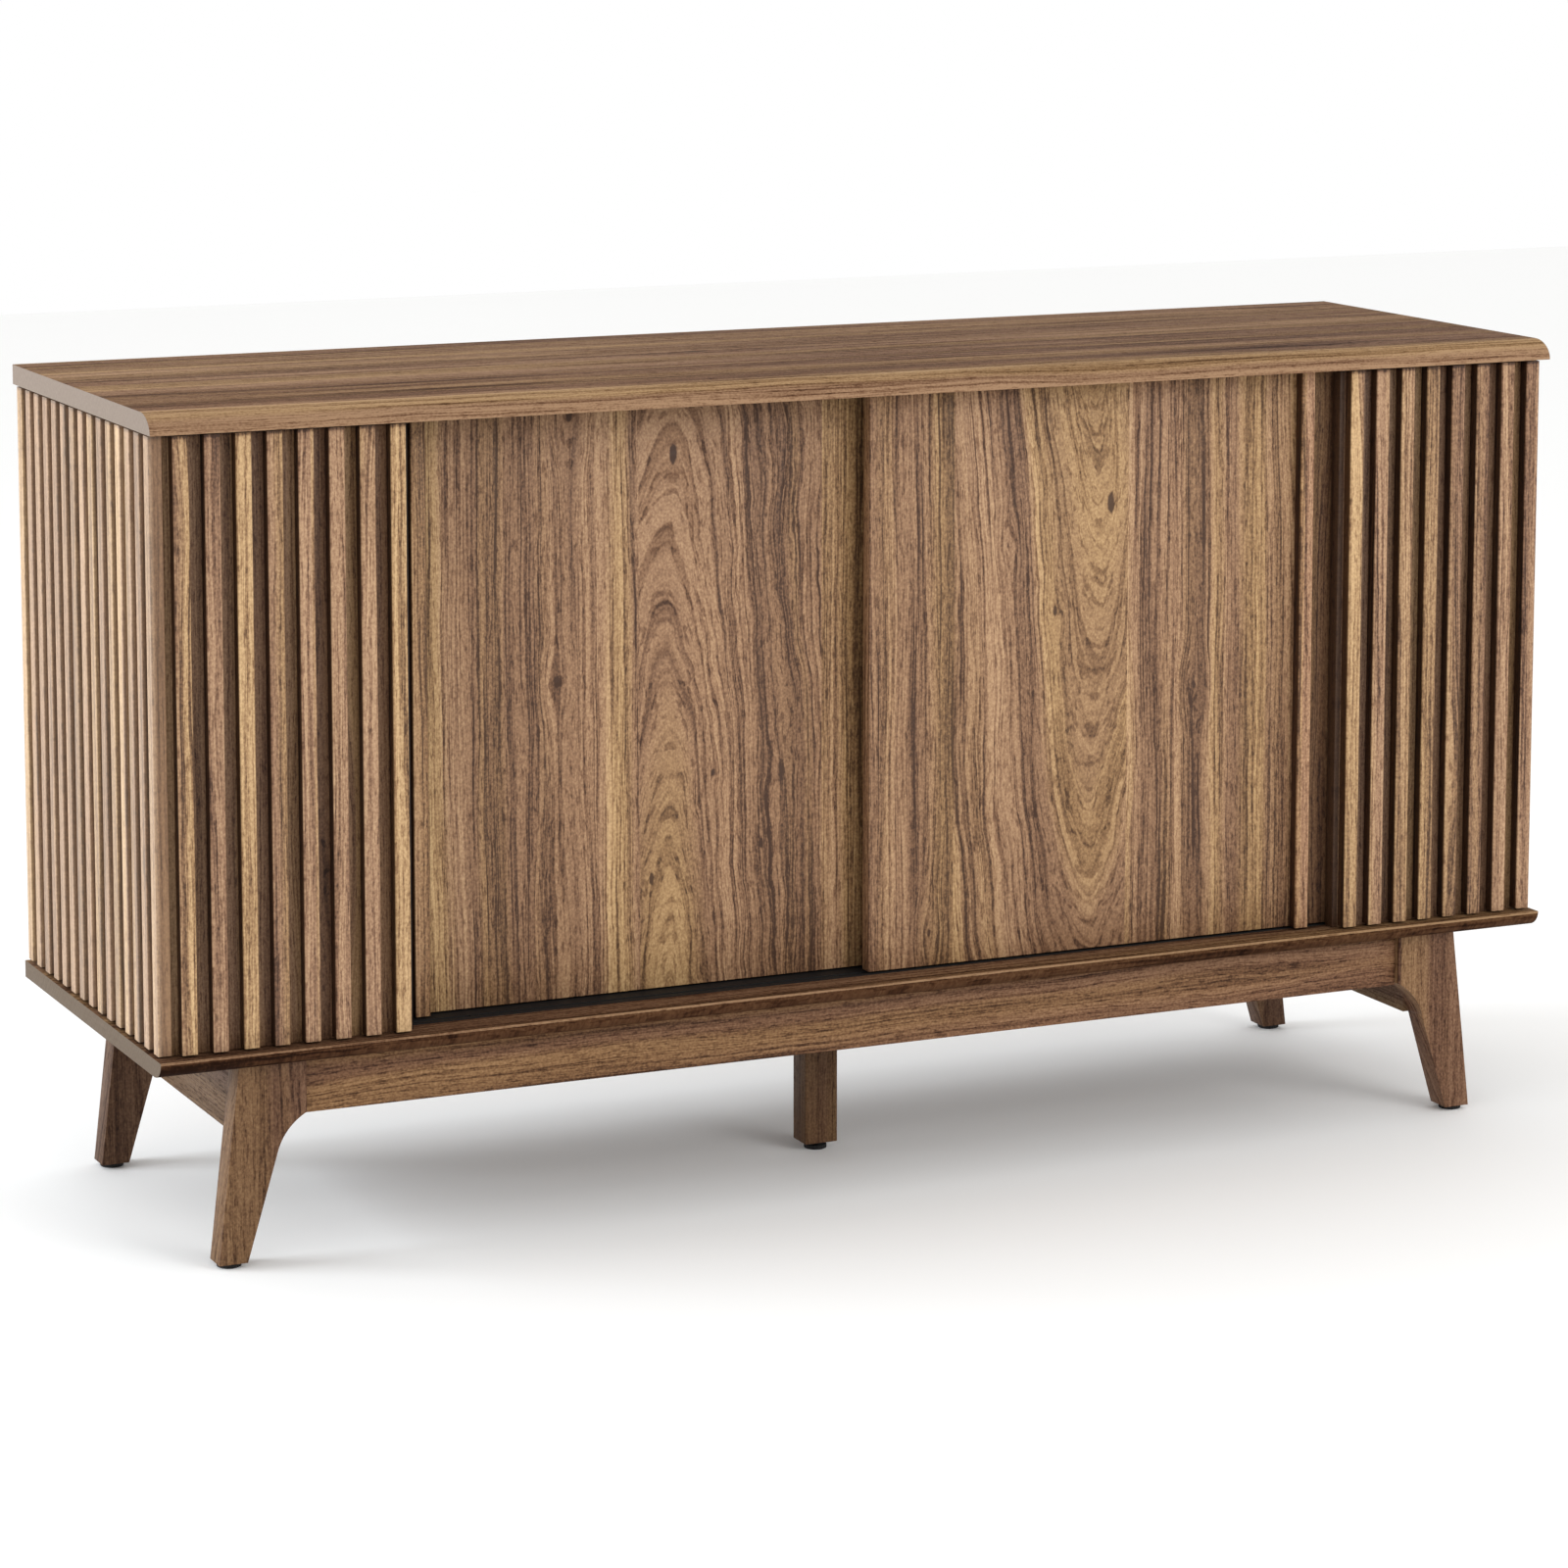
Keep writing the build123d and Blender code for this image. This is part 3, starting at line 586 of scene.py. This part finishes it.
class Grower:  # a Geometry Nodes tree with named inputs
    def __init__(self, name, inputs):
        self.tree = bpy.data.node_groups.new(name, "GeometryNodeTree")
        self.tree.interface.new_socket("Geometry", in_out="OUTPUT", socket_type="NodeSocketGeometry")
        self.tree.interface.new_socket("Geometry", in_out="INPUT", socket_type="NodeSocketGeometry")
        self.ids = {}
        for key, kind in inputs.items():
            socket = self.tree.interface.new_socket(key, in_out="INPUT", socket_type=f"NodeSocket{kind}")
            self.ids[key] = socket.identifier
        self.entry = self.tree.nodes.new("NodeGroupInput")

    def value(self, key):
        return self.entry.outputs[key]

    def node(self, kind, settings=None, sockets=None, out=0):
        made = self.tree.nodes.new(kind)
        for key, value in (settings or {}).items():
            setattr(made, key, value)
        for key, value in (sockets or {}).items():
            if isinstance(value, bpy.types.NodeSocket):
                self.tree.links.new(value, made.inputs[key])
            else:
                made.inputs[key].default_value = value
        return made.outputs[out]

    def close(self, geometry):  # real mesh with its finish on it
        real = self.node("GeometryNodeRealizeInstances", sockets={0: geometry})
        painted = self.node("GeometryNodeSetMaterial", sockets={0: real, "Material": self.value("finish")})
        wayOut = self.tree.nodes.new("NodeGroupOutput")
        self.tree.links.new(painted, wayOut.inputs[0])

    def grow(self, points, **values):  # runs the tree on loose points, gives a plain mesh
        seedMesh = bpy.data.meshes.new("seedPoints")
        seedMesh.from_pydata(points, [], [])
        seed = bpy.data.objects.new("seedPoints", seedMesh)
        bpy.context.collection.objects.link(seed)
        modifier = seed.modifiers.new("grow", "NODES")
        modifier.node_group = self.tree
        for key, value in values.items():
            modifier[self.ids[key]] = value
        graph = bpy.context.evaluated_depsgraph_get()
        mesh = bpy.data.meshes.new_from_object(seed.evaluated_get(graph), depsgraph=graph)
        seed.modifiers.clear()
        bpy.data.objects.remove(seed)
        return mesh


slatSizes = {"easing": 0.0011, "easingSteps": 3, "seed": 12}


def slatTree():
    grower = Grower(
        "slats",
        {
            "width": "Float",
            "depth": "Float",
            "height": "Float",
            "easing": "Float",
            "easingSteps": "Int",
            "seed": "Int",
            "finish": "Material",
        },
    )
    section = grower.node(
        "GeometryNodeCurvePrimitiveQuadrilateral",
        {"mode": "RECTANGLE"},
        {"Width": grower.value("width"), "Height": grower.value("depth")},
    )
    section = grower.node(
        "GeometryNodeFilletCurve",
        {"mode": "POLY"},
        {"Curve": section, "Radius": grower.value("easing"), "Count": grower.value("easingSteps")},
    )
    top = grower.node("ShaderNodeCombineXYZ", sockets={2: grower.value("height")})
    length = grower.node("GeometryNodeCurvePrimitiveLine", sockets={"Start": (0, 0, 0), "End": top})
    slat = grower.node(
        "GeometryNodeCurveToMesh", sockets={"Curve": length, "Profile Curve": section, "Fill Caps": True}
    )
    smooth = grower.node("GeometryNodeSetShadeSmooth", sockets={0: slat, "Shade Smooth": False})
    stand = grower.node("GeometryNodeMeshToPoints", sockets={0: grower.value("Geometry")})
    row = grower.node("GeometryNodeInstanceOnPoints", sockets={"Points": stand, "Instance": smooth})
    chance = grower.node(
        "FunctionNodeRandomValue", {"data_type": "FLOAT"}, {"Seed": grower.value("seed")}, out=1
    )
    marked = grower.node(
        "GeometryNodeStoreNamedAttribute",
        {"data_type": "FLOAT", "domain": "INSTANCE"},
        {0: row, "Name": "slatSeed", "Value": chance},
    )
    grower.close(marked)
    return grower


def islandBoxes(node):  # the box of each loose solid in a CAD node, low corner and high corner
    mesh = frame["nodes"][node].data
    shape = bmesh.new()
    shape.from_mesh(mesh)
    bmesh.ops.remove_doubles(shape, verts=shape.verts, dist=1e-6)
    left = set(shape.verts)
    boxes = []
    while left:
        reached = [left.pop()]
        island = []
        while reached:
            vertex = reached.pop()
            island.append(vertex.co.copy())
            for edge in vertex.link_edges:
                other = edge.other_vert(vertex)
                if other in left:
                    left.remove(other)
                    reached.append(other)
        low = Vector([min(co[i] for co in island) for i in range(3)])
        high = Vector([max(co[i] for co in island) for i in range(3)])
        boxes.append((low, high))
    shape.free()
    return sorted(boxes, key=lambda pair: tuple(round(v, 4) for v in pair[0]))


slatMaker = slatTree()


def slatRun(name, boxes, turned, *nodes):
    size = boxes[0][1] - boxes[0][0]
    feet = [((low.x + high.x) / 2, (low.y + high.y) / 2, low.z) for low, high in boxes]
    mesh = slatMaker.grow(
        feet,
        width=size.x,
        depth=size.y,
        height=size.z,
        easing=slatSizes["easing"],
        easingSteps=slatSizes["easingSteps"],
        seed=slatSizes["seed"] + turned,
        finish=slatWood,
    )
    return addPiece(name, mesh, "cabinet", "walnut_slats", slatWood, *nodes)


for side in ("left", "right"):
    frontNodes = sorted(node for node in frame["nodes"] if node.startswith(f"front_slat_{side}_"))
    slatRun(f"frontSlats{side.capitalize()}", [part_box(node) for node in frontNodes], 1, *frontNodes)
    sideNode = f"side_slats_{side}"
    slatRun(f"sideSlats{side.capitalize()}", islandBoxes(sideNode), 2, sideNode)
print("slats grown on both ends and both front sections")


screwSizes = {
    "sides": 20,
    "recess": 0.45,
    "frame": (0.0045, 0.0022, 0.0026),  # radius of head and shank, height of head
    "back": (0.0032, 0.0015, 0.0014),
}


def lathe(profile, sides=40):  # turns (radius, height) points about the Z axis
    shape = bmesh.new()
    rings = []
    for radius, height in profile:
        if radius == 0:
            rings.append([shape.verts.new((0, 0, height))] * sides)
            continue
        turn = [2 * math.pi * i / sides for i in range(sides)]
        rings.append([shape.verts.new((radius * math.cos(a), radius * math.sin(a), height)) for a in turn])
    for lower, upper in zip(rings, rings[1:]):
        for i in range(sides):
            j = (i + 1) % sides
            corners = []
            for vertex in (lower[i], lower[j], upper[j], upper[i]):
                if vertex not in corners:
                    corners.append(vertex)
            if len(corners) > 2:
                shape.faces.new(corners)
    bmesh.ops.recalc_face_normals(shape, faces=shape.faces)
    return shape


def screwMesh(head, shank, headTall, length):  # head at the bottom, point at the top
    sides = screwSizes["sides"]
    slot = head * screwSizes["recess"]
    profile = [
        (0, headTall * 0.55),
        (slot * 0.45, headTall * 0.45),
        (slot, 0.0002),
        (head * 0.72, 0.0003),
        (head * 0.93, headTall * 0.45),
        (head, headTall * 0.85),
        (head, headTall),
        (shank, headTall),
        (shank, length - shank * 1.5),
        (0, length),
    ]
    shape = lathe(profile, sides)
    mesh = bpy.data.meshes.new("screw")
    shape.to_mesh(mesh)
    shape.free()
    return mesh


def screwTree():
    grower = Grower("screws", {"screw": "Object", "turn": "Vector", "finish": "Material"})
    screw = grower.node("GeometryNodeObjectInfo", sockets={"Object": grower.value("screw")}, out="Geometry")
    spots = grower.node("GeometryNodeMeshToPoints", sockets={0: grower.value("Geometry")})
    placed = grower.node(
        "GeometryNodeInstanceOnPoints",
        sockets={"Points": spots, "Instance": screw, "Rotation": grower.value("turn")},
    )
    grower.close(placed)
    return grower


screwMaker = screwTree()


def screwRow(name, node, axis, head, shank, headTall):
    boxes = islandBoxes(node)
    size = boxes[0][1] - boxes[0][0]
    length = max(size)
    pattern = bpy.data.objects.new("screwPattern", screwMesh(head, shank, headTall, length))
    bpy.context.collection.objects.link(pattern)
    if axis == "z":
        spots = [((low.x + high.x) / 2, (low.y + high.y) / 2, low.z) for low, high in boxes]
        turn = (0.0, 0.0, 0.0)
    else:  # driven in from the back, towards the front
        spots = [((low.x + high.x) / 2, high.y, (low.z + high.z) / 2) for low, high in boxes]
        turn = (math.radians(90), 0.0, 0.0)
    mesh = screwMaker.grow(spots, screw=pattern, turn=turn, finish=steel)
    bpy.data.objects.remove(pattern)
    addPiece(name, mesh, "cabinet", "zinc_steel", steel, node)


screwRow("frameScrews", "frame_screws", "z", *screwSizes["frame"])
screwRow("backScrews", "back_screws", "y", *screwSizes["back"])
print("screws set")


glideSizes = {
    "sides": 48,
    "stud": 0.004,
    "padTop": 0.005,
    "ribs": 24,
    "ribDeep": 0.0006,
    "threadPitch": 0.00125,
    "threadDeep": 0.0005,
}


def glidePiece(node):
    low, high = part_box(node)
    centre = (low + high) / 2
    radius = (high.x - low.x) / 2
    stud = glideSizes["stud"]
    padTop = glideSizes["padTop"]
    profile = [
        (0, 0.0006),
        (radius * 0.72, 0.0006),
        (radius * 0.76, 0),
        (radius * 0.9, 0),
        (radius * 0.985, 0.0006),
        (radius, 0.0016),
        (radius, 0.0036),
        (radius * 0.97, 0.0046),
        (radius * 0.9, padTop),
        (stud * 1.6, padTop),
        (stud, padTop),
    ]
    height = padTop + glideSizes["threadPitch"]
    while height < high.z - 2 * glideSizes["threadPitch"]:
        profile.append((stud - glideSizes["threadDeep"], height))
        profile.append((stud, height + glideSizes["threadPitch"] / 2))
        height += glideSizes["threadPitch"]
    profile += [(stud * 0.8, high.z), (0, high.z)]
    shape = lathe(profile, glideSizes["sides"])
    for vertex in shape.verts:  # gripping ribs round the rim
        out = Vector((vertex.co.x, vertex.co.y)).length
        if out > radius * 0.99:
            angle = math.atan2(vertex.co.y, vertex.co.x)
            pinch = glideSizes["ribDeep"] * (0.5 - 0.5 * math.cos(angle * glideSizes["ribs"]))
            vertex.co.x *= 1 - pinch / out
            vertex.co.y *= 1 - pinch / out
    bmesh.ops.translate(shape, verts=shape.verts, vec=(centre.x, centre.y, 0))
    mesh = bpy.data.meshes.new("glide")
    shape.to_mesh(mesh)
    shape.free()
    words = [word.capitalize() for word in node.split("_")[1:]]
    addPiece("glide" + "".join(words), mesh, node, "black_plastic", plastic, node)


for node in [name for name in frame["nodes"] if name.startswith("glide_") and name != "glide_inserts"]:
    glidePiece(node)
print("levelling glides turned")


studio = {
    "floor": 9.0,
    "aim": (0, 0, 0.45),  # where the lamps point
    "skyStrength": 1.0,
    "keyPlace": (-4.2, 1.1, 1.6),  # behind the left end, so only that end catches it
    "keyPower": 134.0,
    "keyColour": (0.88, 0.94, 1.0),
    "keySize": 2.0,
    "fillPlace": (2.2, -4.6, 2.6),
    "fillPower": 90.0,
    "fillColour": (1.0, 1.0, 1.0),
    "fillSize": 2.4,
}

camera = {
    "place": (-2.17418, -4.685, 1.43843),
    "turn": math.radians(24.7216),
    "tilt": math.radians(7.705),
    "lens": 110.9,
    "shift": -0.2,
}


def makeFloor():
    bench = Bench("paleFloor")
    x, y, z = bench.place()
    cloud = bench.noise(bench.vector(x * 0.6, y * 0.6), detail=2.0)
    colour = bench.blend(cloud * 0.3, srgb(250, 250, 249), srgb(244, 244, 242))
    material = bench.finish(Base_Color=colour, Roughness=0.8)
    half = studio["floor"]
    mesh = bpy.data.meshes.new("floor")
    corners = [(-half, -half, 0), (half, -half, 0), (half, half, 0), (-half, half, 0)]
    mesh.from_pydata(corners, [], [(0, 1, 2, 3)])
    mesh.materials.append(material)
    floor = bpy.data.objects.new("floor", mesh)
    bpy.context.collection.objects.link(floor)


def softLight(name, place, power, size, colour):
    lamp = bpy.data.lights.new(name, "AREA")
    lamp.energy = power
    lamp.size = size
    lamp.color = colour
    holder = bpy.data.objects.new(name, lamp)
    holder.location = place
    aim = Vector(studio["aim"]) - Vector(place)
    holder.rotation_euler = aim.to_track_quat("-Z", "Y").to_euler()
    bpy.context.collection.objects.link(holder)


def makeSky():
    world = bpy.data.worlds.new("studioSky")
    world.use_nodes = True
    world.node_tree.nodes["Background"].inputs["Color"].default_value = (1.0, 1.0, 1.0, 1.0)
    world.node_tree.nodes["Background"].inputs["Strength"].default_value = studio["skyStrength"]
    bpy.context.scene.world = world


def makeCamera():
    lens = bpy.data.cameras.new("view")
    lens.sensor_width = 36.0
    lens.lens = camera["lens"]
    lens.shift_y = camera["shift"]
    lens.clip_end = 60.0
    eye = bpy.data.objects.new("view", lens)
    eye.location = camera["place"]
    turn, tilt = camera["turn"], camera["tilt"]
    ahead = Vector((math.sin(turn) * math.cos(tilt), math.cos(turn) * math.cos(tilt), -math.sin(tilt)))
    eye.rotation_euler = ahead.to_track_quat("-Z", "Y").to_euler()
    bpy.context.collection.objects.link(eye)
    bpy.context.scene.camera = eye


makeFloor()
makeSky()
for lamp in ("key", "fill"):
    softLight(lamp + "Light", *[studio[lamp + part] for part in ("Place", "Power", "Size", "Colour")])
makeCamera()
bpy.context.scene.view_settings.view_transform = "Standard"
print("floor, light and camera set")
